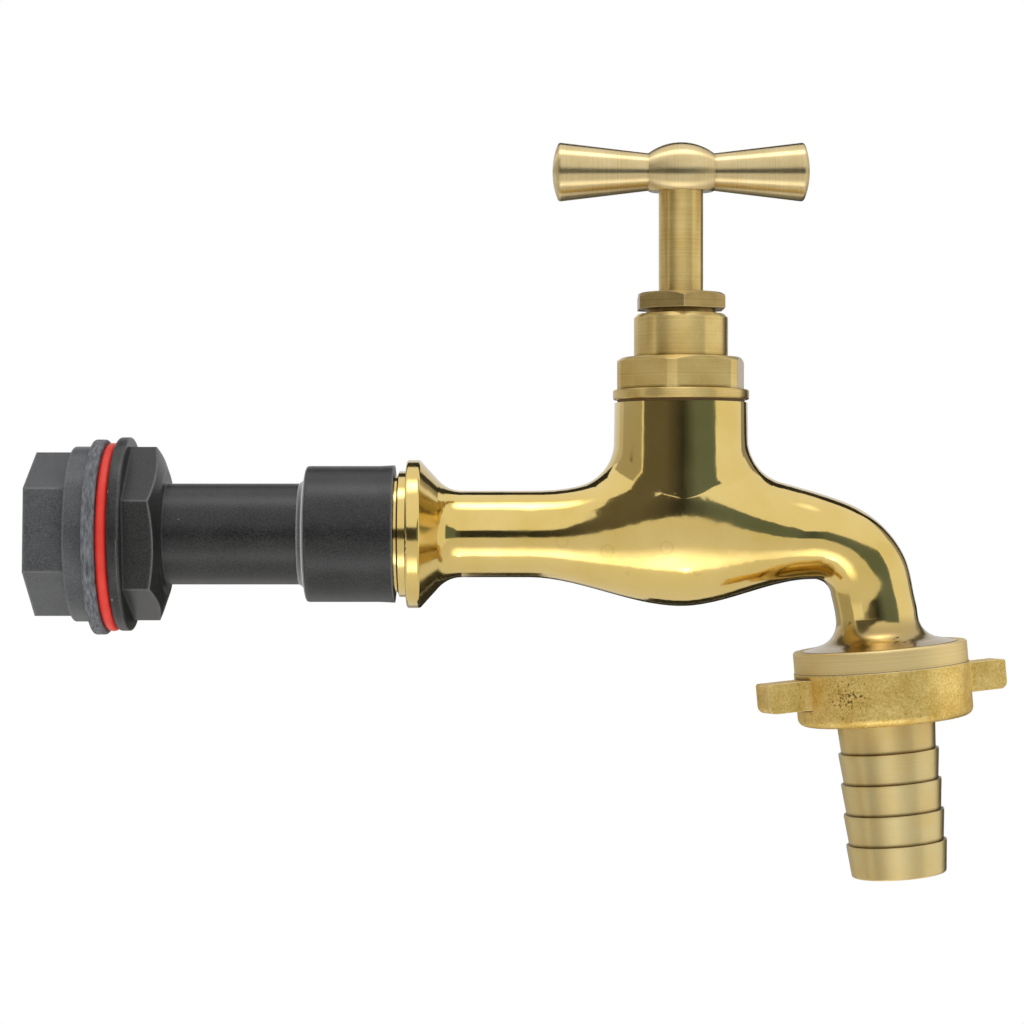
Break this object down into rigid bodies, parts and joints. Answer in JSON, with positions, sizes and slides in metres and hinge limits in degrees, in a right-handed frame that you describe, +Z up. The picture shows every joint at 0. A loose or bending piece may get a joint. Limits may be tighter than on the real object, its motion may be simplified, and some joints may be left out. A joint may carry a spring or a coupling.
{
  "type": "water butt tap",
  "caption": "Brass water butt tap with a tee handle, curved spout and barbed hose union, screwed into a black plastic tank connector with washers and a backnut.",
  "frame": {"origin": "on the inlet axis, on the sealing plane between the black and the red washer, where the tank wall is clamped", "axes": "+X along the inlet axis from the tank to the tap, +Z up along the spindle, Y across"},
  "size_m": [0.1953, 0.039, 0.147],
  "materials": {
    "polished_brass": "cast and polished",
    "turned_brass": "lathe turned, satin",
    "cast_brass": "as cast, slightly rough",
    "black_polypropylene": "moulded, fine grain",
    "black_rubber": "cut rubber, matt",
    "red_rubber": "moulded silicone rubber",
    "fibre": "vulcanised fibre",
    "packing_yarn": "greased yarn"
  },
  "bodies": {
    "tap": {"tank_connector": "black_polypropylene", "red_sealing_washer": "red_rubber", "tap_body": "polished_brass", "bonnet_washer": "fibre", "bonnet": "turned_brass", "gland_packing": "packing_yarn", "gland_nut": "turned_brass"},
    "valve": {"jumper": "turned_brass", "jumper_washer": "black_rubber", "jumper_nut": "turned_brass"},
    "spindle": {"spindle": "turned_brass", "tee_handle": "turned_brass"},
    "hose_tail": {"hose_tail": "turned_brass", "union_washer": "black_rubber"},
    "union_nut": {"union_nut": "cast_brass"},
    "clamp_washer": {"tank_clamp_washer": "black_rubber"},
    "backnut": {"tank_backnut": "black_polypropylene"}
  },
  "joints": [
    {"name": "valve_lift", "type": "slide", "parent": "tap", "child": "valve", "axis": [0, 0, 1], "range_m": [0, 0.006]},
    {"name": "handle_turn", "type": "hinge", "parent": "valve", "child": "spindle", "pos_m": [0.1145, 0, 0.0724], "axis": [0, 0, 1], "range_deg": [0, 1080]},
    {"name": "tail_drop", "type": "slide", "parent": "tap", "child": "hose_tail", "axis": [0.0872, 0, -0.9962], "range_m": [0, 0.00545]},
    {"name": "union_nut_turn", "type": "hinge", "parent": "hose_tail", "child": "union_nut", "pos_m": [0.15417, 0, -0.02229], "axis": [0.0872, 0, -0.9962], "range_deg": [0, 1080]},
    {"name": "clamp_slide", "type": "slide", "parent": "tap", "child": "clamp_washer", "axis": [-1, 0, 0], "range_m": [0, 0.0091]},
    {"name": "backnut_turn", "type": "hinge", "parent": "clamp_washer", "child": "backnut", "pos_m": [-0.0065, 0, 0], "axis": [-1, 0, 0], "range_deg": [0, 1800]}
  ],
  "couplings": [
    {"joint": "valve_lift", "follows": "handle_turn", "m_per_rad": 0.0003183},
    {"joint": "tail_drop", "follows": "union_nut_turn", "m_per_rad": 0.00028871},
    {"joint": "clamp_slide", "follows": "backnut_turn", "m_per_rad": 0.00028871}
  ]
}
